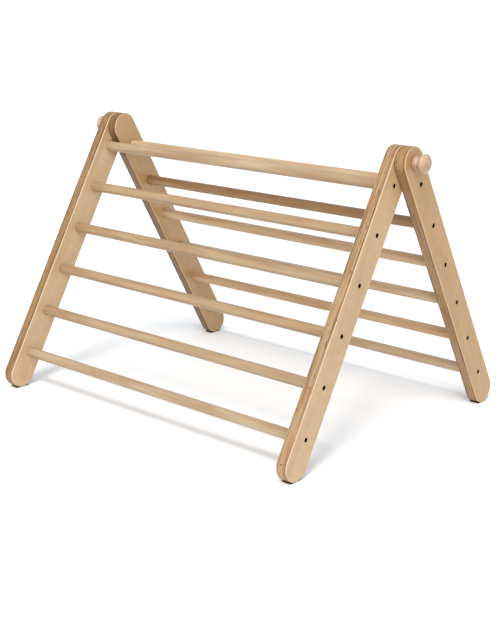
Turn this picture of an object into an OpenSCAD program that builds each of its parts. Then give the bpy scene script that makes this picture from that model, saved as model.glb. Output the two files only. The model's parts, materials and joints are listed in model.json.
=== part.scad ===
// Folding climbing triangle: two identical plywood ladders with round rungs,
// hinged at the top on two knob studs that also clamp them at the chosen angle.
// Origin on the floor under the middle of the pivot axis, +Z up, +X along the rungs.
// The front ladder stands on the -Y side and the back ladder on the +Y side.
// Each ladder is drawn hanging straight down from the pivot and then leaned.

/* [Ladder] */
// Outside width of one ladder, over its two rails
ladder_w = 890; // [600:5:1200]
// Distance between neighbouring rung centres
rung_pitch = 110; // [95:1:120]
// Distance from the pivot to the first rung
first_rung = 55; // [54:1:60]
// Diameter of a rung
rung_d = 24; // [20:0.5:26]
// Depth of the pocket that holds a rung's end
rung_seat = 10; // [6:0.5:13]
// Lean of each ladder away from the vertical
lean = 30; // [28:0.5:36]

/* [Rails] */
// Width of a rail board
rail_w = 67; // [60:1:68]
// Thickness of a rail board
rail_t = 27; // [25:0.5:32]
// Distance from the pivot to the centre of the rounded foot
rail_l = 661; // [650:1:760]
// Rounding of the rail's long edges
edge_r = 2.5; // [1:0.25:4]
// Gap between the two rails that overlap at the pivot
rail_gap = 1.5; // [1:0.25:3]

/* [Foot pads] */
// Length of a rubber pad, across the foot
pad_l = 30; // [20:1:36]
// Width of a rubber pad, along the rungs
pad_w = 23; // [16:0.5:24]
// Height of the pad below the lowest point of the wood
pad_proud = 0.75; // [0.5:0.25:3]

/* [Rung screws] */
// Diameter of the screw head
head_d = 10; // [8:0.5:12]
// Height of the screw head
head_h = 4; // [3:0.5:5]
// Depth of the head's face below the rail
head_recess = 0.5; // [0.25:0.25:3]
// Outside diameter of the screw's thread
screw_d = 7; // [5:0.5:7]
// Length of the screw under its head
screw_l = 52; // [40:1:60]
// Across-flats size of the hexagon socket
socket_af = 5; // [4:0.5:6]

/* [Knobs] */
// Diameter of the knob's head
knob_d = 42; // [36:1:50]
// Diameter of the knob's base
knob_base_d = 30; // [26:1:32]
// Length of the knob along its axis
knob_l = 33; // [30:1:40]
// Diameter of the pivot stud
stud_d = 8; // [6:1:10]
// Diameter of the washer under the knob
washer_d = 24; // [18:1:26]
// Thickness of the washer under the knob
washer_t = 1.5; // [1:0.25:2.5]

/* [Hidden] */
$fn = 64;
FRONT = -1;
BACK = 1;
LEFT = -1;
RIGHT = 1;

rung_count = 6;
rail_r = rail_w / 2;
// Each ladder sits half a board and half the gap to one side, so that their rails overlap
ladder_shift = (rail_t + rail_gap) / 2;

// The pad's flat seat is cut where the rounded foot is as long as the pad
pad_seat = rail_r - sqrt(rail_r * rail_r - pad_l * pad_l / 4);
pad_h = pad_seat + pad_proud;
pad_chamfer = 1;
pivot_z = rail_l * cos(lean) + rail_r + pad_proud;

// Clearances of glued, screwed and turning fits, on the radius
glue_fit = 0.05;
thread_fit = 0.05;
turn_fit = 0.08;
washer_fit = 0.3;
// Running gap between a spacer, which stays on the inner rail, and the rail that turns past it
face_fit = 0.05;
cut = 1;

// Recess, clearance hole and pilot hole of a rung screw
recess_r = head_d / 2 + 0.25;
recess_depth = head_recess + head_h;
clearance_r = screw_d / 2 + 0.1;
core_r = screw_d / 2 - 0.6;
screw_pitch = 4;
screw_tip = 4;
socket_depth = 2.5;
seat_x = rail_t - rung_seat;
pilot_depth = recess_depth + screw_l - seat_x + 2;

// Blind threaded insert in the inner rail, and the stud that screws into it
insert_l = 18;
insert_r = stud_d / 2 + 2;
insert_ridge = 0.8;
insert_pitch = 3;
insert_hole = 22;
stud_engaged = 16;
stud_in_knob = 20;
stud_chamfer = 0.8;
spacer_r = 12;

// Turned profile of the knob, as distances from its base
knob_r = knob_d / 2;
knob_base_r = knob_base_d / 2;
base_round = 1.5;
base_end = 6;
waist_at = 12;
waist_r = knob_base_r - 2.6;
head_at = 23;
head_back = 7.5;

wood_face = "#DDBA8E";
wood_rung = "#D2AD80";
wood_knob = "#E6CBA4";
black_steel = "#1B1816";
bright_steel = "#B9BCC0";
black_rubber = "#161514";
fibre = "#5A4634";

// Leans a ladder and lifts its pivot to its place
module on_ladder(side) {
    translate([side * ladder_shift, 0, pivot_z]) rotate([side * lean, 0, 0]) children();
}

// The rail's outer face becomes x = 0, with +X pointing out of the ladder
module at_end(end) {
    mirror([end < 0 ? 1 : 0, 0, 0]) translate([ladder_w / 2, 0, 0]) children();
}

// A point on the rail's centre line, at a distance below the pivot
module down(distance) {
    translate([0, 0, -distance]) children();
}

// The foot's centre, turned back level with the floor
module at_foot(side) {
    down(rail_l) rotate([-side * lean, 0, 0]) children();
}

// A cylinder that runs inwards from x to x - depth
module inward(x, depth, r) {
    translate([x, 0, 0]) rotate([0, -90, 0]) cylinder(h = depth, r = r);
}

// Every rung's place on a rail
module each_rung() {
    for (i = [0 : rung_count - 1]) down(first_rung + i * rung_pitch) children();
}

function is_outer(side, end) = side * end > 0;

// Cross-section of a rail from one edge to the other, with rounded corners
module rail_section() {
    for (x = [-rail_t + edge_r, -edge_r], y = [-rail_r + edge_r, rail_r - edge_r])
        translate([x, y]) circle(edge_r);
    translate([-rail_t, -rail_r + edge_r]) square([rail_t, rail_w - 2 * edge_r]);
    translate([-rail_t + edge_r, -rail_r]) square([rail_t - 2 * edge_r, rail_w]);
}

// Half of the same section, drawn as radius and height for turning
module rail_half_section() {
    for (y = [-rail_t + edge_r, -edge_r]) translate([rail_r - edge_r, y]) circle(edge_r);
    translate([0, -rail_t]) square([rail_r - edge_r, rail_t]);
    translate([0, -rail_t + edge_r]) square([rail_r, rail_t - 2 * edge_r]);
}

// Half-round end of a rail, above the cut for turn = 90 and below it for turn = -90
module rail_end(turn) {
    rotate([0, 90, 0]) rotate([0, 0, turn]) rotate_extrude(angle = 180) rail_half_section();
}

module rail_blank() {
    down(rail_l) linear_extrude(rail_l) rail_section();
    rail_end(90);
    down(rail_l) rail_end(-90);
}

module rail(side, end) {
    color(wood_face) on_ladder(side) at_end(end) difference() {
        rail_blank();
        each_rung() {
            inward(cut, recess_depth + cut, recess_r);
            inward(-recess_depth + cut, seat_x - recess_depth + 2 * cut, clearance_r);
            inward(-seat_x, rung_seat + cut, rung_d / 2 + glue_fit);
        }
        if (is_outer(side, end)) inward(cut, rail_t + 2 * cut, stud_d / 2 + turn_fit);
        else inward(cut, insert_hole + cut, insert_r + insert_ridge + glue_fit);
        at_foot(side) translate([-(rail_t + pad_w) / 2, -pad_l / 2, -rail_r - cut])
            cube([pad_w, pad_l, pad_seat + cut]);
    }
}

module rung(side, number) {
    length = ladder_w - 2 * seat_x;
    color(wood_rung) on_ladder(side) down(first_rung + (number - 1) * rung_pitch) difference() {
        translate([length / 2, 0, 0]) inward(0, length, rung_d / 2);
        for (end = [LEFT, RIGHT]) at_end(end)
            inward(-seat_x + cut, pilot_depth + cut, screw_d / 2 + thread_fit);
    }
}

// One screw along -X: head, plain shank, and a thread drawn as ridges round its core
module rung_screw() {
    plain = seat_x - recess_depth;
    ridges = floor((screw_l - plain - screw_tip) / screw_pitch);
    thread = [for (i = [0 : ridges - 1], p = [0, 1])
        [p == 0 ? screw_d / 2 : core_r, plain + (i + p / 2) * screw_pitch]];
    difference() {
        inward(-head_recess, head_h, head_d / 2);
        translate([-head_recess + cut, 0, 0]) rotate([0, -90, 0])
            cylinder(h = socket_depth + cut, d = socket_af / cos(30), $fn = 6);
    }
    translate([-recess_depth, 0, 0]) rotate([0, -90, 0]) rotate_extrude() polygon(concat(
        [[0, -0.5], [core_r, -0.5], [core_r, 0], [screw_d / 2, 0]],
        thread,
        [[core_r, screw_l - screw_tip], [0, screw_l]]
    ));
}

module screws(side, end) {
    color(black_steel) on_ladder(side) at_end(end) each_rung() rung_screw();
}

// Rubber pad in its pocket, with a plywood lip left on both faces of the rail
module foot_pad(side, end) {
    color(black_rubber) on_ladder(side) at_end(end) at_foot(side)
        translate([-(rail_t + pad_w) / 2, 0, -rail_r - pad_proud])
            rotate([90, 0, 90]) linear_extrude(pad_w) polygon([
                [-pad_l / 2 + pad_chamfer, 0],
                [pad_l / 2 - pad_chamfer, 0],
                [pad_l / 2, pad_chamfer],
                [pad_l / 2, pad_h],
                [-pad_l / 2, pad_h],
                [-pad_l / 2, pad_chamfer]
            ]);
}

// Steel insert with outside ridges that bite the wood, flush with the rail's face
module rail_insert(side, end) {
    ridges = floor(insert_l / insert_pitch);
    outside = [for (i = [0 : ridges - 1], p = [0, 1])
        [insert_r + (p == 0 ? 0 : insert_ridge), (i + p / 2) * insert_pitch]];
    color(bright_steel) on_ladder(side) at_end(end) rotate([0, -90, 0]) difference() {
        rotate_extrude() polygon(concat([[0, 0]], outside, [[insert_r, insert_l], [0, insert_l]]));
        translate([0, 0, -cut]) cylinder(h = insert_l + 2 * cut, r = stud_d / 2 + thread_fit);
    }
}

// Puts x = 0 on the outer face of the outer rail, where the pivot hardware comes out
module at_pivot(end) {
    mirror([end < 0 ? 1 : 0, 0, 0]) translate([ladder_w / 2 + ladder_shift, 0, pivot_z]) children();
}

module ring(outer_r, inner_r, thickness) {
    rotate([0, 90, 0]) difference() {
        cylinder(h = thickness, r = outer_r);
        translate([0, 0, -cut]) cylinder(h = thickness + 2 * cut, r = inner_r);
    }
}

module spacer(end) {
    color(fibre) at_pivot(end) translate([-rail_t - rail_gap, 0, 0])
        ring(spacer_r, stud_d / 2 + washer_fit, rail_gap - face_fit);
}

module knob_washer(end) {
    color(bright_steel) at_pivot(end) ring(washer_d / 2, stud_d / 2 + washer_fit, washer_t);
}

module knob_stud(end) {
    inner = rail_t + rail_gap + stud_engaged;
    length = inner + washer_t + stud_in_knob;
    r = stud_d / 2;
    color(bright_steel) at_pivot(end) translate([-inner, 0, 0]) rotate([0, 90, 0])
        rotate_extrude() polygon([
            [0, 0],
            [r - stud_chamfer, 0],
            [r, stud_chamfer],
            [r, length - stud_chamfer],
            [r - stud_chamfer, length],
            [0, length]
        ]);
}

// Turned outline: rounded base, hollow waist, then a head that is flatter behind than in front
function base_points() = [for (a = [0 : 30 : 90])
    [knob_base_r - base_round * (1 - sin(a)), base_round * (1 - cos(a))]];
function waist_points() = [for (t = [0 : 0.2 : 1])
    [knob_base_r + (waist_r - knob_base_r) * (1 - cos(180 * t)) / 2, base_end + (waist_at - base_end) * t]];
function head_points() = concat(
    [for (a = [-72 : 12 : 0]) [waist_r + (knob_r - waist_r) * cos(a), head_at + head_back * sin(a)]],
    [for (a = [10 : 10 : 80]) [knob_r * cos(a), head_at + (knob_l - head_at) * sin(a)]]
);

module knob(end) {
    color(wood_knob) at_pivot(end) translate([washer_t, 0, 0]) rotate([0, 90, 0]) difference() {
        rotate_extrude() polygon(concat(
            [[0, 0]],
            base_points(),
            waist_points(),
            head_points(),
            [[0, knob_l]]
        ));
        translate([0, 0, -cut]) cylinder(h = stud_in_knob + cut, r = stud_d / 2 + glue_fit);
    }
}

rail(FRONT, LEFT);  // front_left_rail
rail(FRONT, RIGHT);  // front_right_rail
rail(BACK, LEFT);  // back_left_rail
rail(BACK, RIGHT);  // back_right_rail
rung(FRONT, 1);  // front_rung_1
rung(FRONT, 2);  // front_rung_2
rung(FRONT, 3);  // front_rung_3
rung(FRONT, 4);  // front_rung_4
rung(FRONT, 5);  // front_rung_5
rung(FRONT, 6);  // front_rung_6
rung(BACK, 1);  // back_rung_1
rung(BACK, 2);  // back_rung_2
rung(BACK, 3);  // back_rung_3
rung(BACK, 4);  // back_rung_4
rung(BACK, 5);  // back_rung_5
rung(BACK, 6);  // back_rung_6
screws(FRONT, LEFT);  // front_left_screws
screws(FRONT, RIGHT);  // front_right_screws
screws(BACK, LEFT);  // back_left_screws
screws(BACK, RIGHT);  // back_right_screws
foot_pad(FRONT, LEFT);  // front_left_foot_pad
foot_pad(FRONT, RIGHT);  // front_right_foot_pad
foot_pad(BACK, LEFT);  // back_left_foot_pad
foot_pad(BACK, RIGHT);  // back_right_foot_pad
rail_insert(BACK, LEFT);  // left_rail_insert
rail_insert(FRONT, RIGHT);  // right_rail_insert
spacer(LEFT);  // left_spacer
spacer(RIGHT);  // right_spacer
knob_washer(LEFT);  // left_knob_washer
knob_washer(RIGHT);  // right_knob_washer
knob_stud(LEFT);  // left_knob_stud
knob_stud(RIGHT);  // right_knob_stud
knob(LEFT);  // left_knob
knob(RIGHT);  // right_knob
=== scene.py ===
import json
import math
import random

import bmesh
import bpy
from mathutils import Matrix, Vector

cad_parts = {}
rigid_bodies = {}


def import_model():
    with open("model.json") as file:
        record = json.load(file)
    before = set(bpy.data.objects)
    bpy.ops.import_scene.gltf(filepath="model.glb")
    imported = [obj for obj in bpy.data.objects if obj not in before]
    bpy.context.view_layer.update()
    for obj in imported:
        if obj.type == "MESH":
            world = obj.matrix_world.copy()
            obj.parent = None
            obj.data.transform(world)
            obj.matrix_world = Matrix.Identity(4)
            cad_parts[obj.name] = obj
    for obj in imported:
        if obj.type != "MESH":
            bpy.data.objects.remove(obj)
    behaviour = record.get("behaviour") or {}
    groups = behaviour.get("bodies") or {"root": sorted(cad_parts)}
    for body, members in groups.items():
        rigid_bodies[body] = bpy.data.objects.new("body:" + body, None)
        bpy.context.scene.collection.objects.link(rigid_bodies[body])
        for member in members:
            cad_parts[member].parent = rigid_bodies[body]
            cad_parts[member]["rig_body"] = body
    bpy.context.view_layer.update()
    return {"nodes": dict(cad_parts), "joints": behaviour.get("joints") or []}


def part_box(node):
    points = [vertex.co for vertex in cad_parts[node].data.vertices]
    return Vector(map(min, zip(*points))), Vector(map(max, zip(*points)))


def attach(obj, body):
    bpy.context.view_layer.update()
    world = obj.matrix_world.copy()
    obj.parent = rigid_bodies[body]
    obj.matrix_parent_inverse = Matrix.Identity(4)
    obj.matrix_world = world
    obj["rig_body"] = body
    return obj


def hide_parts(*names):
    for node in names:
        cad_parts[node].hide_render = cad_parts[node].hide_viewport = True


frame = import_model()

# ---------------------------------------------------------------- places, from the frame

MM = 0.001

# Which way a ladder's feet lie in Y, and an end in X
SIDE_SIGN = {"front": -1, "back": 1}
END_SIGN = {"left": -1, "right": 1}
SIDES = ("front", "back")
ENDS = ("left", "right")
RUNGS = range(1, 7)

fold = next(joint for joint in frame["joints"] if joint["name"] == "fold")
pivot = Vector(fold["pos_m"])
pad_low, pad_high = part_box("back_right_foot_pad")
rail_low, rail_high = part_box("back_right_rail")
rung_low, rung_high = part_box("back_rung_1")

RAIL_R = rail_high.z - pivot.z
RAIL_T = rail_high.x - rail_low.x
foot_centre = Vector((0, (pad_low.y + pad_high.y) / 2, rail_low.z + RAIL_R))
RAIL_L = math.hypot(foot_centre.y, pivot.z - foot_centre.z)
LEAN = math.atan2(foot_centre.y, pivot.z - foot_centre.z)
PAD_PROUD = rail_low.z - pad_low.z
RUNG_R = (rung_high.z - rung_low.z) / 2
CLEAR_WIDTH = rail_low.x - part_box("back_left_rail")[1].x
RUNG_SEAT = (rung_high.x - rung_low.x - CLEAR_WIDTH) / 2

# ---------------------------------------------------------------- sizes of fine detail

EDGE_R = 2.5 * MM
PAD_L = 30 * MM
PAD_CHAMFER = 1 * MM
RECESS_R = 5.25 * MM
RECESS_DEPTH = 4.5 * MM
RECESS_CHAMFER = 0.35 * MM
CLEARANCE_R = 3.6 * MM
GLUE_FIT = 0.05 * MM
HEAD_R = 5 * MM
HEAD_L = 4 * MM
HEAD_TOP = 0.5 * MM
HEAD_ROUND = 0.6 * MM
SCREW_R = 3.5 * MM
SCREW_CORE_R = 2.9 * MM
SCREW_L = 52 * MM
SCREW_PITCH = 2 * MM
SCREW_POINT = 4 * MM
PILOT_SPARE = 2 * MM
RUNG_EASE = 0.8 * MM
SOCKET_R = 2.9 * MM
SOCKET_DEPTH = 2.5 * MM
STUD_R = 4 * MM
BEARING_R = 4.08 * MM
INSERT_HOLE_R = 6.85 * MM
INSERT_HOLE = 22 * MM
KNOB_R = 21 * MM
KNOB_BASE_R = 15 * MM
KNOB_WAIST_R = 12.4 * MM
KNOB_L = 33 * MM
STUD_IN_KNOB = 20 * MM
OVERCUT = 1 * MM

# Each screw in a rail is turned this much further than the last, in radians
SCREW_SPIN = 1.1

# How many straight steps stand for each curve
END_STEPS = 40
ROUND_STEPS = 6
HOLE_STEPS = 48
SCREW_STEPS = 48
RUNG_STEPS = 64
KNOB_STEPS = 96
WALL_STEPS = 96

# Edges sharper than this, in degrees, are left crisp
CREASE = 32
SCREW_CREASE = 40
KNOB_CREASE = 50

PLY_COUNT = 19


def rung_distance(number):
    """How far below the pivot a rung's axis is, along the rail. It is the same in both ladders."""
    low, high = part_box(f"back_rung_{number}")
    centre = (low + high) / 2
    return math.hypot(centre.y, pivot.z - centre.z)


def ladder_matrix(side):
    """From a ladder's own frame, which has the pivot at its origin and the rails along Z."""
    return Matrix.Translation((0, 0, pivot.z)) @ Matrix.Rotation(SIDE_SIGN[side] * LEAN, 4, "X")


def rail_faces(side, end):
    """X of a rail's outer face and of its inner face."""
    low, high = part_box(f"{side}_{end}_rail")
    return (high.x, low.x) if end == "right" else (low.x, high.x)


def is_outer(side, end):
    """True for the rail that lies outside the other ladder's rail, and so carries the knob."""
    return SIDE_SIGN[side] * END_SIGN[end] > 0


# ---------------------------------------------------------------- mesh tools


def full_turn(steps):
    """Angles all the way round, without the first one again at the end."""
    return [2 * math.pi * i / steps for i in range(steps)]


def ring(bm, place, x, radius, steps):
    """A circle of vertices about X."""
    points = [(x, radius * math.cos(a), radius * math.sin(a)) for a in full_turn(steps)]
    return [bm.verts.new(place @ Vector(point)) for point in points]


def ring_faces(bm, rings):
    """Joins each closed ring of vertices to the next with quads."""
    for first, second in zip(rings, rings[1:]):
        for i in range(len(first)):
            j = (i + 1) % len(first)
            bm.faces.new((first[i], first[j], second[j], second[i]))


def turned(bm, profile, steps, place):
    """A closed turned solid about X. Its profile, of (x, radius) points, starts and ends on the axis."""
    poles = [bm.verts.new(place @ Vector((profile[k][0], 0, 0))) for k in (0, -1)]
    rings = [ring(bm, place, x, radius, steps) for x, radius in profile[1:-1]]
    ring_faces(bm, rings)
    for i in range(steps):
        j = (i + 1) % steps
        bm.faces.new((poles[0], rings[0][j], rings[0][i]))
        bm.faces.new((poles[1], rings[-1][i], rings[-1][j]))


def arc(centre, radius, start, stop, steps):
    """Points (x, r) on an arc, with angles in degrees from the +x direction."""
    angles = [math.radians(start + (stop - start) * i / steps) for i in range(steps + 1)]
    return [(centre[0] + radius * math.cos(a), centre[1] + radius * math.sin(a)) for a in angles]


def mesh_object(name, bm, crease=CREASE):
    """An object made of the bmesh, with its faces turned outward."""
    bmesh.ops.recalc_face_normals(bm, faces=bm.faces)
    mesh = bpy.data.meshes.new(name)
    bm.to_mesh(mesh)
    bm.free()
    piece = bpy.data.objects.new(name, mesh)
    bpy.context.scene.collection.objects.link(piece)
    smooth(mesh, crease)
    return piece


def smooth(mesh, crease):
    """Shades a mesh smooth, apart from its edges that are sharper than the crease angle."""
    mesh.shade_smooth()
    mesh.set_sharp_from_angle(angle=math.radians(crease))


def even_flats(piece):
    """Keeps flat faces evenly lit where they meet small rounded edges."""
    modifier = piece.modifiers.new("even_flats", "WEIGHTED_NORMAL")
    modifier.keep_sharp = True


def drill(piece, cutter):
    """Cuts the cutter's closed solids out of the piece, and removes the cutter."""
    modifier = piece.modifiers.new("drill", "BOOLEAN")
    modifier.operation = "DIFFERENCE"
    modifier.solver = "EXACT"
    modifier.object = cutter
    evaluated = piece.evaluated_get(bpy.context.evaluated_depsgraph_get())
    drilled = bpy.data.meshes.new_from_object(evaluated)
    piece.modifiers.clear()
    piece.data = drilled
    bpy.data.objects.remove(cutter)


def mark_number(piece, name, number_of):
    """Stores a number at each vertex, worked out from where the vertex is."""
    numbers = [number_of(vertex.co) for vertex in piece.data.vertices]
    attribute = piece.data.attributes.new(name, "FLOAT", "POINT")
    attribute.data.foreach_set("value", numbers)


def mark_vector(piece, name, vector_of):
    """Stores three numbers at each vertex, worked out from where the vertex is."""
    numbers = [number for vertex in piece.data.vertices for number in vector_of(vertex.co)]
    attribute = piece.data.attributes.new(name, "FLOAT_VECTOR", "POINT")
    attribute.data.foreach_set("vector", numbers)


# ---------------------------------------------------------------- rails


def stadium_ring(bm, x, inset):
    """One outline of a rail, at a depth x, pulled in from its edge."""
    radius = RAIL_R - inset
    top = [(radius * math.cos(a), radius * math.sin(a)) for a in half_turn(0)]
    foot = [(radius * math.cos(a), radius * math.sin(a) - RAIL_L) for a in half_turn(math.pi)]
    return [bm.verts.new((x, y, z)) for y, z in top + foot]


def half_turn(start):
    """Angles halfway round, with both ends."""
    return [start + math.pi * i / END_STEPS for i in range(END_STEPS + 1)]


def rail_blank(bm, low_x, high_x):
    """A board with half-round ends and rounded edges, between two X faces."""
    quarter = [math.pi / 2 * i / ROUND_STEPS for i in range(ROUND_STEPS + 1)]
    rounding = [(EDGE_R * (1 - math.sin(a)), EDGE_R * (1 - math.cos(a))) for a in quarter]
    low = [stadium_ring(bm, low_x + depth, inset) for depth, inset in reversed(rounding)]
    high = [stadium_ring(bm, high_x - depth, inset) for depth, inset in rounding]
    ring_faces(bm, low + high)
    bm.faces.new(low[0])
    bm.faces.new(high[-1])


def rung_hole_profile():
    """Counterbore, clearance hole and rung pocket in one outline, by depth from the outer face."""
    seat = RAIL_T - RUNG_SEAT
    pocket_r = RUNG_R + GLUE_FIT
    return [
        (-OVERCUT, 0),
        (-OVERCUT, RECESS_R + RECESS_CHAMFER + OVERCUT),
        (RECESS_CHAMFER, RECESS_R),
        (RECESS_DEPTH, RECESS_R),
        (RECESS_DEPTH, CLEARANCE_R),
        (seat, CLEARANCE_R),
        (seat, pocket_r),
        (RAIL_T - RECESS_CHAMFER, pocket_r),
        (RAIL_T + OVERCUT, pocket_r + RECESS_CHAMFER + OVERCUT),
        (RAIL_T + OVERCUT, 0),
    ]


def pivot_hole_profile(outer):
    """The through bearing of an outer rail, or the blind hole for an inner rail's insert."""
    if outer:
        stop = RAIL_T + OVERCUT
        return [(-OVERCUT, 0), (-OVERCUT, BEARING_R), (stop, BEARING_R), (stop, 0)]
    return [(-OVERCUT, 0), (-OVERCUT, INSERT_HOLE_R), (INSERT_HOLE, INSERT_HOLE_R), (INSERT_HOLE, 0)]


def box_solid(bm, low, high, place):
    """A box between its lowest and highest corners, then put in its place."""
    corners = bmesh.ops.create_cube(bm, size=1)["verts"]
    size = Matrix.Diagonal((*(high - low), 1))
    bmesh.ops.transform(bm, matrix=place @ Matrix.Translation((low + high) / 2) @ size, verts=corners)


def depth_frame(side, end, distance):
    """Puts depth from a rail's outer face along +X, at a distance below the pivot."""
    outer_x, _ = rail_faces(side, end)
    turn = Matrix.Diagonal((-END_SIGN[end], 1, 1, 1))
    return Matrix.Translation((outer_x, 0, -distance)) @ turn


def foot_frame(side):
    """The centre of a ladder's feet, turned level with the floor."""
    return Matrix.Translation((0, 0, -RAIL_L)) @ Matrix.Rotation(-SIDE_SIGN[side] * LEAN, 4, "X")


def pad_span(side, end):
    """X of the two sides of a rail's foot pad."""
    low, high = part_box(f"{side}_{end}_foot_pad")
    return low.x, high.x


def pad_seat():
    """Depth of the flat seat for the pad, where the rounded foot is as long as the pad."""
    return RAIL_R - math.sqrt(RAIL_R ** 2 - PAD_L ** 2 / 4)


def rail_cutter(side, end):
    """Everything that is cut out of a rail: its rung holes, its pivot hole and its pad's seat."""
    bm = bmesh.new()
    for number in RUNGS:
        turned(bm, rung_hole_profile(), HOLE_STEPS, depth_frame(side, end, rung_distance(number)))
    turned(bm, pivot_hole_profile(is_outer(side, end)), HOLE_STEPS, depth_frame(side, end, 0))
    low_x, high_x = pad_span(side, end)
    low = Vector((low_x, -PAD_L / 2, -RAIL_R - OVERCUT))
    high = Vector((high_x, PAD_L / 2, -RAIL_R + pad_seat()))
    box_solid(bm, low, high, foot_frame(side))
    return mesh_object("cutter", bm)


def rail_end_grain(point):
    """0 along a rail's straight edges, rising to 1 at the tips of its round ends."""
    past = max(point.z, -RAIL_L - point.z, 0)
    return min(past / RAIL_R, 1)


def rail_look(point, shift, foot_tones, pivot_tones):
    """A rail's shift, and its two tones, which change evenly from the foot to the pivot. The change is
    painted light and shade along the rail.
    """
    height = 1 + point.z / RAIL_L
    tones = [foot + (top - foot) * height for foot, top in zip(foot_tones, pivot_tones)]
    return (shift, *tones)


def make_rail(side, end, look):
    """A rail cut from a plywood board. Its plies are counted from its outer face."""
    outer_x, inner_x = rail_faces(side, end)
    bm = bmesh.new()
    rail_blank(bm, min(outer_x, inner_x), max(outer_x, inner_x))
    board = mesh_object(f"{side}_{end}_rail_board", bm)
    drill(board, rail_cutter(side, end))
    smooth(board.data, CREASE)
    mark_vector(board, "wood", lambda p: (abs(p.x - outer_x), p.y, p.z))
    mark_number(board, "end_grain", rail_end_grain)
    mark_vector(board, "look", lambda p: rail_look(p, *look))
    board.data.transform(ladder_matrix(side))
    even_flats(board)
    return board


# ---------------------------------------------------------------- rungs


def rung_profile(half):
    """A dowel with eased ends, from the bottom of one end's pilot hole to the bottom of the other's."""
    pilot_depth = RECESS_DEPTH + SCREW_L - (RAIL_T - RUNG_SEAT) + PILOT_SPARE
    pilot_end = half - pilot_depth
    pilot_r = SCREW_R + GLUE_FIT
    hole = [(pilot_end, 0), (pilot_end, pilot_r), (half, pilot_r)]
    outside = [(half, RUNG_R - RUNG_EASE), (half - RUNG_EASE, RUNG_R)]
    right = hole + outside
    left = [(-x, radius) for x, radius in reversed(right)]
    return right + left


def mark_beech(piece, look):
    """Marks a piece whose grain runs along X. Its shift also spins it, so that no two look alike."""
    spin = Matrix.Rotation(look[0], 3, "X")
    mark_vector(piece, "wood", lambda p: (spin @ p).yzx)
    mark_vector(piece, "look", lambda p: look)


def make_rung(side, number, look):
    """A beech dowel, a little longer than the space between its rails."""
    low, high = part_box(f"{side}_rung_{number}")
    half = (high.x - low.x) / 2
    centre = (low.x + high.x) / 2
    bm = bmesh.new()
    turned(bm, rung_profile(half), RUNG_STEPS, Matrix.Translation((centre, 0, 0)))
    dowel = mesh_object(f"{side}_rung_{number}_dowel", bm)
    mark_beech(dowel, look)
    dowel.data.transform(ladder_matrix(side) @ Matrix.Translation((0, 0, -rung_distance(number))))
    return dowel


# ---------------------------------------------------------------- rung screws


def screw_profile():
    """Head, shank, ridged thread and point, by depth from the rail's outer face, without the socket."""
    under = HEAD_TOP + HEAD_L
    plain = RAIL_T - RUNG_SEAT - RECESS_DEPTH
    rim = arc((HEAD_TOP + HEAD_ROUND, HEAD_R - HEAD_ROUND), HEAD_ROUND, 180, 90, 5)
    shank = [(under, HEAD_R), (under, SCREW_R), (under + plain, SCREW_R)]
    thread = []
    ridges = int((SCREW_L - plain - SCREW_POINT) / SCREW_PITCH)
    for k in range(ridges):
        start = under + plain + k * SCREW_PITCH
        crest = [(start + share * SCREW_PITCH, SCREW_R) for share in (0.4, 0.6)]
        thread += [(start, SCREW_CORE_R), *crest]
    tip = [(under + SCREW_L - SCREW_POINT, SCREW_CORE_R), (under + SCREW_L, 0)]
    return rim + shank + thread + tip


def screw_solid(bm, place):
    """One screw: a six-sided socket let into the top of a turned head, all one closed surface."""
    profile = screw_profile()
    rings = [ring(bm, place, x, radius, SCREW_STEPS) for x, radius in profile[:-1]]
    ring_faces(bm, rings)
    tip = bm.verts.new(place @ Vector((profile[-1][0], 0, 0)))
    for i in range(SCREW_STEPS):
        bm.faces.new((tip, rings[-1][i], rings[-1][(i + 1) % SCREW_STEPS]))
    socket = hexagon()
    mouth = [bm.verts.new(place @ Vector((HEAD_TOP, y, z))) for y, z in socket]
    floor = [bm.verts.new(place @ Vector((HEAD_TOP + SOCKET_DEPTH, y, z))) for y, z in socket]
    ring_faces(bm, [rings[0], mouth, floor])
    bm.faces.new(floor)


def hexagon():
    """Points round the socket, as many as the head's rim has, so that the two can be joined."""
    points = []
    for a in full_turn(SCREW_STEPS):
        within = (a + math.pi / 6) % (math.pi / 3) - math.pi / 6
        radius = SOCKET_R * math.cos(math.pi / 6) / math.cos(within)
        points.append((radius * math.cos(a), radius * math.sin(a)))
    return points


def make_screws(side, end):
    """A rail's six screws, each turned further than the last."""
    bm = bmesh.new()
    for number in RUNGS:
        spin = Matrix.Rotation(number * SCREW_SPIN, 4, "X")
        screw_solid(bm, depth_frame(side, end, rung_distance(number)) @ spin)
    screws = mesh_object(f"{side}_{end}_rung_screws", bm, SCREW_CREASE)
    screws.data.transform(ladder_matrix(side))
    return screws


# ---------------------------------------------------------------- foot pads


def make_foot_pad(side, end):
    """A rubber block with eased edges, let into the underside of the foot."""
    low_x, high_x = pad_span(side, end)
    low = Vector((low_x, -PAD_L / 2, -RAIL_R - PAD_PROUD))
    high = Vector((high_x, PAD_L / 2, -RAIL_R + pad_seat()))
    bm = bmesh.new()
    box_solid(bm, low, high, Matrix.Identity(4))
    below = [edge for edge in bm.edges if all(v.co.z < -RAIL_R for v in edge.verts)]
    bmesh.ops.bevel(bm, geom=below, offset=PAD_CHAMFER, segments=4, profile=0.5, affect="EDGES")
    pad = mesh_object(f"{side}_{end}_foot_pad_rubber", bm)
    pad.data.transform(ladder_matrix(side) @ foot_frame(side))
    even_flats(pad)
    return pad


# ---------------------------------------------------------------- knobs


def knob_profile():
    """Turned outline from the bottom of the stud's bore, over the base, waist and head, to the crown."""
    base_round = 1.5 * MM
    bore_r = STUD_R + GLUE_FIT
    bore = [(STUD_IN_KNOB, 0), (STUD_IN_KNOB, bore_r), (0, bore_r)]
    base = arc((base_round, KNOB_BASE_R - base_round), base_round, 180, 90, 6)
    return bore + base + knob_waist() + knob_head()


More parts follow.
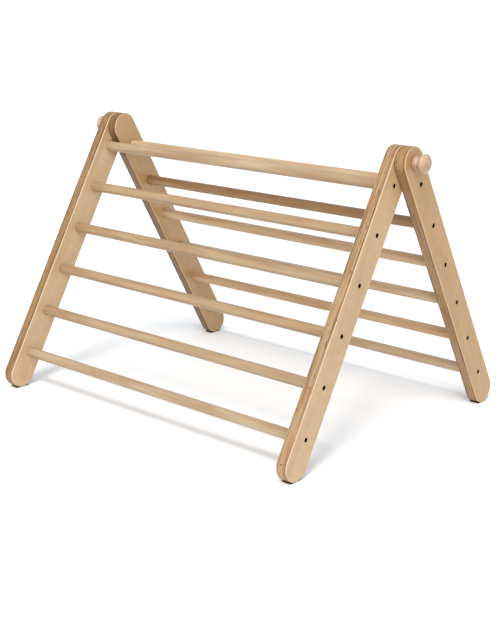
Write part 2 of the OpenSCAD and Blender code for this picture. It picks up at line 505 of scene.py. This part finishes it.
def knob_waist():
    """The smooth fall from the base to the waist."""
    base_end = 6 * MM
    waist_at = 12 * MM
    steps = 12
    points = []
    for i in range(steps + 1):
        share = i / steps
        fall = (1 - math.cos(math.pi * share)) / 2
        radius = KNOB_BASE_R + (KNOB_WAIST_R - KNOB_BASE_R) * fall
        points.append((base_end + (waist_at - base_end) * share, radius))
    return points


def knob_head():
    """The head: a tight curve out of the waist, its widest circle, and a rounder curve to the crown."""
    head_at = 23 * MM
    head_back = 7.5 * MM
    points = []
    for degrees in range(-84, 91, 6):
        a = math.radians(degrees)
        core = KNOB_WAIST_R if degrees < 0 else 0
        reach = head_back if degrees < 0 else KNOB_L - head_at
        points.append((head_at + reach * math.sin(a), core + (KNOB_R - core) * math.cos(a)))
    points[-1] = (KNOB_L, 0)
    return points


def make_knob(end, look):
    """A turned clamping knob, bored for its stud."""
    low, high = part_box(f"{end}_knob")
    base_x = low.x if end == "right" else high.x
    place = Matrix.Translation((base_x, 0, 0)) @ Matrix.Diagonal((END_SIGN[end], 1, 1, 1))
    bm = bmesh.new()
    turned(bm, knob_profile(), KNOB_STEPS, place)
    knob = mesh_object(f"{end}_knob_turned", bm, KNOB_CREASE)
    mark_beech(knob, look)
    knob.data.transform(Matrix.Translation((0, 0, pivot.z)))
    return knob


# ---------------------------------------------------------------- shader tools


class Shader:
    """Adds nodes to one material. Each call returns the output socket of the node that it adds."""

    def __init__(self, name):
        self.material = bpy.data.materials.new(name)
        self.material.use_nodes = True
        self.tree = self.material.node_tree
        self.surface = self.tree.nodes["Principled BSDF"]

    def put(self, socket, value):
        if isinstance(value, bpy.types.NodeSocket):
            self.tree.links.new(value, socket)
        else:
            socket.default_value = value

    def add(self, kind, inputs=(), output=0, **settings):
        node = self.tree.nodes.new(kind)
        for key, value in settings.items():
            setattr(node, key, value)
        for key, value in dict(inputs).items():
            self.put(node.inputs[key], value)
        return node.outputs[output]

    def attribute(self, name, output):
        return self.add("ShaderNodeAttribute", output=output, attribute_name=name)

    def math(self, operation, first, second=0.0, third=0.0):
        inputs = {0: first, 1: second, 2: third}
        return self.add("ShaderNodeMath", inputs, operation=operation)

    def split(self, vector):
        node = self.tree.nodes.new("ShaderNodeSeparateXYZ")
        self.put(node.inputs[0], vector)
        return node.outputs

    def vector(self, x, y, z):
        return self.add("ShaderNodeCombineXYZ", {0: x, 1: y, 2: z})

    def noise(self, place, scales, detail=2.0, roughness=0.5, distortion=0.0):
        """Noise with a scale along each axis, per metre, so that it can be stretched into grain."""
        stretched = self.add("ShaderNodeVectorMath", {0: place, 1: scales}, operation="MULTIPLY")
        inputs = {"Vector": stretched, "Scale": 1.0, "Detail": detail}
        inputs.update({"Roughness": roughness, "Distortion": distortion})
        return self.add("ShaderNodeTexNoise", inputs)

    def chance(self, vector):
        """A random number, the same wherever the vector is the same."""
        return self.add("ShaderNodeTexWhiteNoise", {"Vector": vector}, noise_dimensions="3D")

    def between(self, value, low, high, to_low=0.0, to_high=1.0):
        """Maps low..high to to_low..to_high smoothly, and holds it there outside."""
        inputs = {0: value, 1: low, 2: high, 3: to_low, 4: to_high}
        return self.add("ShaderNodeMapRange", inputs, interpolation_type="SMOOTHSTEP")

    def mix(self, factor, first, second, blend="MIX"):
        node = self.tree.nodes.new("ShaderNodeMix")
        node.data_type = "RGBA"
        node.blend_type = blend
        self.put(node.inputs[0], factor)
        self.put(node.inputs[6], first)
        self.put(node.inputs[7], second)
        return node.outputs[2]

    def bump(self, height, distance):
        return self.add("ShaderNodeBump", {"Height": height, "Distance": distance, "Strength": 1.0})

    def finish(self, **surface):
        """Sets the surface's own sockets by name, with _ for a space."""
        for key, value in surface.items():
            self.put(self.surface.inputs[key.replace("_", " ")], value)
        return self.material


def rgb(red, green, blue):
    """A colour from its sRGB values, 0 to 255."""
    def linear(value):
        share = value / 255
        return share / 12.92 if share <= 0.04045 else ((share + 0.055) / 1.055) ** 2.4
    return (linear(red), linear(green), linear(blue), 1.0)


# ---------------------------------------------------------------- wood materials

PLY_PALE = rgb(192, 163, 128)
PLY_DEEP = rgb(178, 146, 110)
RUNG_PALE = rgb(194, 172, 141)
RUNG_DEEP = rgb(171, 138, 103)
KNOB_PALE = rgb(190, 164, 136)
KNOB_DEEP = rgb(157, 127, 99)

# The pale wood of the plywood's sanded corners, which also stands for a painted highlight along them
SANDED_AND_HIGHLIGHT = rgb(222, 196, 160)

# Colours that darken the wood by being multiplied with it
LIGHT_BROWN = (0.74, 0.68, 0.58, 1)
MID_BROWN = (0.69, 0.68, 0.65, 1)
WARM_BROWN = (0.62, 0.45, 0.15, 1)
EDGE_BROWN = (0.58, 0.47, 0.26, 1)
REDDISH = (0.94, 0.77, 0.67, 1)
TAN = (0.95, 0.73, 0.50, 1)
SHADE = (0.58, 0.58, 0.54, 1)
DARK_BROWN = (0.26, 0.17, 0.10, 1)
# The painted shade inside the plies' small gaps
GAP_SHADE = (0.18, 0.08, 0.03, 1)

# How many plies from the middle one the darkening near the two faces lies
SKIN_PLY = 6.5

# How deep the grain is at most
PLYWOOD_RELIEF = 0.06 * MM
BEECH_RELIEF = 0.05 * MM


def tint(s, colour, share, multiplier):
    """Darkens a colour towards its product with another."""
    return s.mix(share, colour, multiplier, "MULTIPLY")


class Plies:
    """Which ply each point lies in, how that ply runs, and how near the point is to a glue line."""

    def __init__(self, s, place, depth):
        # The plies wander a little, but not past the two faces
        wander = s.math("MULTIPLY_ADD", s.noise(place, (0, 9, 9)), 0.4, -0.2)
        level = s.math("MULTIPLY_ADD", depth, PLY_COUNT / RAIL_T, wander)
        level = s.math("MINIMUM", s.math("MAXIMUM", level, 0.01), PLY_COUNT - 0.01)
        self.ply = s.math("FLOOR", level)
        self.crossed = s.math("MODULO", self.ply, 2.0)
        self.from_middle = s.math("ABSOLUTE", s.math("SUBTRACT", self.ply, (PLY_COUNT - 1) / 2))
        self.core = s.math("LESS_THAN", self.from_middle, PLY_COUNT / 2 - 1)
        # 0 in the middle of a ply, and 0.5 at its glue lines
        self.off_centre = s.math("ABSOLUTE", s.math("SUBTRACT", s.math("FRACT", level), 0.5))


def face_grain(s, veneer, streak, pores):
    """Long grain, which is all that the two face veneers show."""
    figure = s.noise(veneer, (1, 22, 3.5), detail=3.0, roughness=0.55, distortion=0.8)
    mottle = s.noise(veneer, (1, 34, 60), detail=2.0)
    colour = s.mix(s.between(figure, 0.25, 0.80), PLY_PALE, PLY_DEEP)
    colour = tint(s, colour, s.between(streak, 0.45, 0.78, 0.0, 0.22), LIGHT_BROWN)
    colour = tint(s, colour, s.between(pores, 0.58, 0.76, 0.0, 0.25), LIGHT_BROWN)
    return tint(s, colour, s.between(mottle, 0.40, 0.70, 0.0, 0.20), LIGHT_BROWN)


def sawn_edge(s, colour, place, plies, shows_end, patch, shift):
    """End grain in every second ply, uneven plies, and bands and reddish patches a few plies wide."""
    speck = s.between(s.noise(place, (900, 900, 900)), 0.30, 0.72, 0.10, 0.60)
    ply_chance = s.between(s.chance(s.vector(plies.ply, shift, 3.0)), 0.0, 1.0, 0.0, 0.30)
    band = s.between(s.noise(place, (210, 7, 5), detail=1.0), 0.42, 0.62, 0.0, 0.85)
    colour = tint(s, colour, s.math("MULTIPLY", shows_end, speck), MID_BROWN)
    colour = tint(s, colour, s.math("MULTIPLY", plies.core, ply_chance), MID_BROWN)
    colour = tint(s, colour, s.math("MULTIPLY", plies.core, band), MID_BROWN)
    reddish = s.between(patch, 0.48, 0.62, 0.0, 0.85)
    return tint(s, colour, s.math("MULTIPLY", plies.core, reddish), REDDISH)


def darkening_near_faces(s, veneer, plies):
    """Darkening a few plies in from each face, which comes and goes along the board."""
    near = s.math("ABSOLUTE", s.math("SUBTRACT", plies.from_middle, SKIN_PLY))
    stretch = s.between(s.noise(veneer, (3.7, 5, 8), detail=1.0), 0.44, 0.60, 0.1, 0.95)
    return s.math("MULTIPLY", s.between(near, 0.4, 1.2, 1.0, 0.0), stretch)


def sanded_and_highlit_corner(s, depth, end_grain):
    """The rounded corners, sanded through to clean wood, with a painted highlight along them. Both show
    less round the board's ends.
    """
    from_face = s.math("MINIMUM", depth, s.math("SUBTRACT", RAIL_T, depth))
    starts = s.between(from_face, 0.2 * MM, 0.5 * MM)
    stops = s.between(from_face, 1.3 * MM, 1.6 * MM, 1.0, 0.0)
    strength = s.between(end_grain, 0.3, 0.9, 0.5, 0.2)
    return s.math("MULTIPLY", s.math("MINIMUM", starts, stops), strength)


def plywood():
    """Birch plywood as a solid: plies by depth, each with its own grain, glue lines and small gaps."""
    s = Shader("birch_plywood")
    depth, across, along = s.split(s.attribute("wood", "Vector"))
    shift, tone, edge_tone_and_shade = s.split(s.attribute("look", "Vector"))
    end_grain = s.attribute("end_grain", "Fac")
    y = s.math("ADD", across, shift)
    z = s.math("ADD", along, shift)
    place = s.vector(depth, y, z)
    plies = Plies(s, place, depth)
    veneer = s.vector(plies.ply, y, z)
    streak = s.noise(place, (420, 420, 9), detail=3.0, roughness=0.6)
    pores = s.noise(place, (1500, 1500, 90), detail=1.0)
    patch = s.noise(place, (130, 24, 17), detail=1.0)
    end_ply = s.math("ABSOLUTE", s.math("SUBTRACT", plies.crossed, end_grain))
    shows_end = s.math("MULTIPLY", end_ply, plies.core)

    colour = face_grain(s, veneer, streak, pores)
    colour = sawn_edge(s, colour, place, plies, shows_end, patch, shift)

    # Dark lines along the edge
    glue_strength = s.between(patch, 0.35, 0.65, 0.20, 0.65)
    glue = s.math("MULTIPLY", s.between(plies.off_centre, 0.42, 0.49), glue_strength)
    lines = s.math("MAXIMUM", glue, darkening_near_faces(s, veneer, plies))
    colour = tint(s, colour, s.math("MULTIPLY", plies.core, lines), DARK_BROWN)

    # Short gaps left in the crossed plies, painted dark for the shade inside them
    gap_spots = s.between(s.noise(veneer, (7.7, 110, 75), detail=0.0), 0.72, 0.75)
    gap = s.math("MULTIPLY", gap_spots, s.math("MULTIPLY", plies.core, plies.crossed))
    colour = tint(s, colour, gap, GAP_SHADE)

    # Partly wood tone and partly painted shade and light: each rail's edge and face tones, changing from
    # foot to pivot
    colour = tint(s, colour, s.math("MULTIPLY", plies.core, edge_tone_and_shade), EDGE_BROWN)
    colour = tint(s, colour, tone, WARM_BROWN)
    # Pale sanded corners, with a painted highlight along them
    colour = s.mix(sanded_and_highlit_corner(s, depth, end_grain), colour, SANDED_AND_HIGHLIGHT)

    grain = s.math("MULTIPLY_ADD", streak, 0.6, s.math("MULTIPLY", pores, 0.4))
    sunk = s.math("MULTIPLY_ADD", gap, 4.0, glue)
    relief = s.bump(s.math("SUBTRACT", grain, sunk), PLYWOOD_RELIEF)
    coarse = s.math("MULTIPLY_ADD", shows_end, 0.4, s.math("MULTIPLY", streak, 0.5))
    rough = s.between(coarse, 0.1, 0.8, 0.38, 0.56)
    return s.finish(Base_Color=colour, Roughness=rough, Normal=relief,
                    Coat_Weight=0.12, Coat_Roughness=0.22)


def beech(name, pale, deep):
    """Turned or planed beech: growth rings through the piece, long streaks, and short darker flecks."""
    s = Shader(name)
    side, rise, along = s.split(s.attribute("wood", "Vector"))
    shift, tone, warmth = s.split(s.attribute("look", "Vector"))
    place = s.vector(side, rise, s.math("ADD", along, shift))
    wander = s.noise(place, (30, 30, 2.5))
    year = s.math("MULTIPLY_ADD", side, 260, s.math("MULTIPLY", wander, 7))
    growth = s.math("MULTIPLY_ADD", s.math("SINE", s.math("MULTIPLY", year, math.pi)), 0.5, 0.5)
    broad = s.noise(place, (60, 60, 6))
    blush = s.noise(place, (35, 35, 11), detail=1.0)
    streak = s.noise(place, (700, 700, 14), detail=3.0, roughness=0.6)
    flecks = s.between(s.noise(place, (2200, 2200, 260), detail=0.0), 0.64, 0.74)

    colour = s.mix(s.between(broad, 0.30, 0.72), pale, deep)
    colour = s.mix(s.math("MULTIPLY", growth, 0.30), colour, deep)
    colour = s.mix(s.between(streak, 0.42, 0.75, 0.0, 0.40), colour, deep)
    colour = tint(s, colour, s.between(blush, 0.52, 0.72, 0.0, 0.40), REDDISH)
    colour = tint(s, colour, s.math("MULTIPLY", flecks, 0.35), MID_BROWN)
    # Painted shade on some pieces, set by their first tone: it darkens the front rungs
    colour = tint(s, colour, tone, SHADE)
    colour = tint(s, colour, warmth, TAN)

    height = s.math("MULTIPLY_ADD", streak, 0.7, s.math("MULTIPLY", flecks, -0.6))
    rough = s.between(streak, 0.2, 0.8, 0.38, 0.54)
    return s.finish(Base_Color=colour, Roughness=rough, Normal=s.bump(height, BEECH_RELIEF),
                    Coat_Weight=0.25, Coat_Roughness=0.30)


# ---------------------------------------------------------------- metal, rubber and fibre

STEEL_RELIEF = 0.02 * MM
ZINC_RELIEF = 0.01 * MM
FIBRE_RELIEF = 0.04 * MM
RUBBER_RELIEF = 0.05 * MM


def object_noise(s, scale, stretch=(1, 1, 1), detail=3.0):
    """Noise fixed to the object, stretched along X, Y and Z."""
    place = s.add("ShaderNodeTexCoord", output="Object")
    return s.noise(place, [scale * k for k in stretch], detail)


def black_steel():
    """Blackened steel: a dull brownish black, with an oily bloom and slightly paler worn spots."""
    black = (0.004, 0.002, 0.001, 1)
    bloomed = (0.009, 0.005, 0.002, 1)
    worn = (0.028, 0.018, 0.011, 1)
    s = Shader("blackened_steel")
    bloom = object_noise(s, 600)
    wear = object_noise(s, 2500)
    colour = s.mix(s.between(bloom, 0.35, 0.70), black, bloomed)
    colour = s.mix(s.between(wear, 0.62, 0.78, 0.0, 0.5), colour, worn)
    rough = s.between(bloom, 0.3, 0.7, 0.50, 0.72)
    return s.finish(Base_Color=colour, Specular_IOR_Level=0.02, Roughness=rough,
                    Normal=s.bump(wear, STEEL_RELIEF))


def zinc_steel():
    """Zinc-plated steel: bright, slightly blue, with a turned surface and dull patches."""
    s = Shader("zinc_steel")
    turning = object_noise(s, 3000, stretch=(3, 0.4, 0.4), detail=2.0)
    patches = object_noise(s, 260)
    colour = s.mix(s.between(patches, 0.35, 0.70), rgb(196, 200, 206), rgb(158, 162, 166))
    colour = s.mix(s.math("MULTIPLY", s.between(turning, 0.45, 0.75), 0.4), colour, rgb(222, 224, 226))
    rough = s.between(patches, 0.3, 0.7, 0.24, 0.44)
    return s.finish(Base_Color=colour, Metallic=1.0, Roughness=rough, Normal=s.bump(turning, ZINC_RELIEF))


def fibre():
    """Pressed vulcanised fibre: brown, matt, with a felted fleck."""
    s = Shader("pressed_fibre")
    felt = object_noise(s, 1800)
    cloud = object_noise(s, 200)
    colour = s.mix(s.between(cloud, 0.3, 0.7), rgb(104, 78, 54), rgb(82, 60, 42))
    colour = s.mix(s.math("MULTIPLY", s.between(felt, 0.5, 0.8), 0.5), colour, rgb(140, 110, 80))
    rough = s.between(felt, 0.3, 0.7, 0.72, 0.90)
    return s.finish(Base_Color=colour, Roughness=rough, Normal=s.bump(felt, FIBRE_RELIEF))


def rubber():
    """Black moulded rubber with a fine sparkle and a little dust."""
    s = Shader("black_rubber")
    mould = object_noise(s, 2600)
    dust = object_noise(s, 240)
    colour = s.mix(s.between(dust, 0.45, 0.8), rgb(22, 18, 15), rgb(44, 38, 33))
    rough = s.between(mould, 0.3, 0.7, 0.62, 0.84)
    return s.finish(Base_Color=colour, Specular_IOR_Level=0.25, Roughness=rough,
                    Normal=s.bump(mould, RUBBER_RELIEF))


MATERIALS = {
    "plywood": plywood(),
    "rung_wood": beech("beech_dowel", RUNG_PALE, RUNG_DEEP),
    "knob_wood": beech("beech_knob", KNOB_PALE, KNOB_DEEP),
    "black_steel": black_steel(),
    "zinc_steel": zinc_steel(),
    "fibre": fibre(),
    "rubber": rubber(),
}

# ---------------------------------------------------------------- assembly

rng = random.Random(7)

# How dark and how tan each rung is, from the top one down. The front rungs are darkened with painted
# shade, as if less light reached them than the lamps give; the second back rung is darker still
RUNG_TONES_AND_SHADE = {
    "front": ((0.45, 0.00), (0.60, 0.40), (0.60, 0.30), (0.60, 0.40), (0.60, 0.25), (0.50, 0.00)),
    "back": ((0.00, 0.00), (0.90, 1.00), (0.00, 0.30), (0.00, 0.05), (0.05, 0.55), (0.15, 0.00)),
}

# How brown each rail is and how much browner its sawn edge is, at the foot and at the pivot. This is
# partly the wood's tone and partly painted shade and light: the back rails are darker, and the change
# from foot to pivot stands for how the light fell along each rail
RAIL_TONES_AND_SHADE = {
    "front_left": ((0.04, 0.84), (0.00, 0.74)),
    "front_right": ((0.08, 0.18), (0.32, 0.00)),
    "back_left": ((0.58, 1.00), (0.52, 0.90)),
    "back_right": ((0.54, 0.14), (0.63, 0.00)),
}

# How dark and how tan the knobs are
KNOB_TONES = (0.0, 0.2)


def wood_look(tones):
    """A shift, in metres, which gives the piece grain of its own, followed by the piece's tones. For the
    rails and rungs, the tones are partly painted shade and light.
    """
    return (rng.uniform(1, 9), *tones)


def fit_out(piece, node, slot):
    """Gives a piece its material, puts it on its CAD node's body and lets it stand for the node."""
    piece.data.materials.append(MATERIALS[slot])
    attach(piece, frame["nodes"][node]["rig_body"])
    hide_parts(node)


def keep_node(node, slot):
    """Shows a CAD node itself, with a finished material."""
    piece = frame["nodes"][node]
    piece.data.materials.clear()
    piece.data.materials.append(MATERIALS[slot])


for side in SIDES:
    for end in ENDS:
        look = wood_look(RAIL_TONES_AND_SHADE[f"{side}_{end}"])
        fit_out(make_rail(side, end, look), f"{side}_{end}_rail", "plywood")
        fit_out(make_screws(side, end), f"{side}_{end}_screws", "black_steel")
        fit_out(make_foot_pad(side, end), f"{side}_{end}_foot_pad", "rubber")
    for number in RUNGS:
        look = wood_look(RUNG_TONES_AND_SHADE[side][number - 1])
        fit_out(make_rung(side, number, look), f"{side}_rung_{number}", "rung_wood")

for end in ENDS:
    fit_out(make_knob(end, wood_look(KNOB_TONES)), f"{end}_knob", "knob_wood")
    keep_node(f"{end}_rail_insert", "zinc_steel")
    keep_node(f"{end}_spacer", "fibre")
    keep_node(f"{end}_knob_washer", "zinc_steel")
    keep_node(f"{end}_knob_stud", "zinc_steel")

# ---------------------------------------------------------------- floor, light and camera

STUDIO_WHITE = (0.90, 0.90, 0.90, 1)

# Slightly cool light all round and slightly warm lamps. Together they are neutral and leave cool shadows
WORLD_COLOUR = (0.90, 0.95, 1.0, 1)
SUN_COLOUR = (1.0, 0.98, 0.95)

# Half the floor's width, and the backdrop's radius, its height and how far it goes below the floor
FLOOR_REACH = 60
WALL_REACH = 58
WALL_HEIGHT = 8
WALL_DEPTH = 0.5


def make_floor():
    """A large plain floor, so far across that its edge is out of sight."""
    bm = bmesh.new()
    corners = ((-1, -1), (1, -1), (1, 1), (-1, 1))
    bm.faces.new([bm.verts.new((x * FLOOR_REACH, y * FLOOR_REACH, 0)) for x, y in corners])
    floor = mesh_object("studio_floor", bm)
    s = Shader("white_floor")
    floor.data.materials.append(s.finish(Base_Color=STUDIO_WHITE, Roughness=0.9))


def make_backdrop():
    """A white wall all round, near the floor's edge, which hides the horizon and lights nothing."""
    bm = bmesh.new()
    upright = Matrix.Rotation(-math.pi / 2, 4, "Y")
    ring_faces(bm, [ring(bm, upright, z, WALL_REACH, WALL_STEPS) for z in (-WALL_DEPTH, WALL_HEIGHT)])
    backdrop = mesh_object("studio_backdrop", bm)
    s = Shader("lit_white_wall")
    white = s.finish(Base_Color=STUDIO_WHITE, Roughness=0.9,
                     Emission_Color=(1, 1, 1, 1), Emission_Strength=1.0)
    backdrop.data.materials.append(white)
    backdrop.visible_shadow = False
    backdrop.visible_diffuse = False
    backdrop.visible_glossy = False


def make_light(name, direction, width, strength):
    """A distant light from a direction. The greater its width, in degrees, the softer its shadows."""
    data = bpy.data.lights.new(name, "SUN")
    data.angle = math.radians(width)
    data.energy = strength
    data.color = SUN_COLOUR
    lamp = bpy.data.objects.new(name, data)
    bpy.context.scene.collection.objects.link(lamp)
    lamp.rotation_mode = "QUATERNION"
    lamp.rotation_quaternion = Vector(direction).to_track_quat("Z", "Y")


def make_world(strength):
    """Even light from all round."""
    world = bpy.data.worlds.new("white_studio")
    world.use_nodes = True
    background = world.node_tree.nodes["Background"]
    background.inputs["Color"].default_value = WORLD_COLOUR
    background.inputs["Strength"].default_value = strength
    bpy.context.scene.world = world


def make_camera():
    """Three-quarter view from the front right, a little above the pivot."""
    data = bpy.data.cameras.new("camera")
    data.lens = 70
    data.sensor_width = 36
    camera = bpy.data.objects.new("camera", data)
    bpy.context.scene.collection.objects.link(camera)
    # Where it stands, the way it looks, and the way its right side points
    place = Vector((1.8403, -2.0760, pivot.z + 0.3769))
    forward = Vector((-0.63583, 0.72266, -0.27109))
    right = Vector((0.74978, 0.66166, 0.00526))
    up = right.cross(forward)
    turn = Matrix((right, up, -forward)).transposed()
    camera.matrix_world = Matrix.Translation(place) @ turn.to_4x4()
    bpy.context.scene.camera = camera


make_floor()
make_backdrop()
make_world(strength=0.78)
make_light("key", (0.28, -0.55, 1.0), width=17, strength=1.9)
make_light("front_fill", (0.64, -0.72, 0.38), width=40, strength=1.53)
make_camera()
bpy.context.scene.view_settings.view_transform = "Standard"
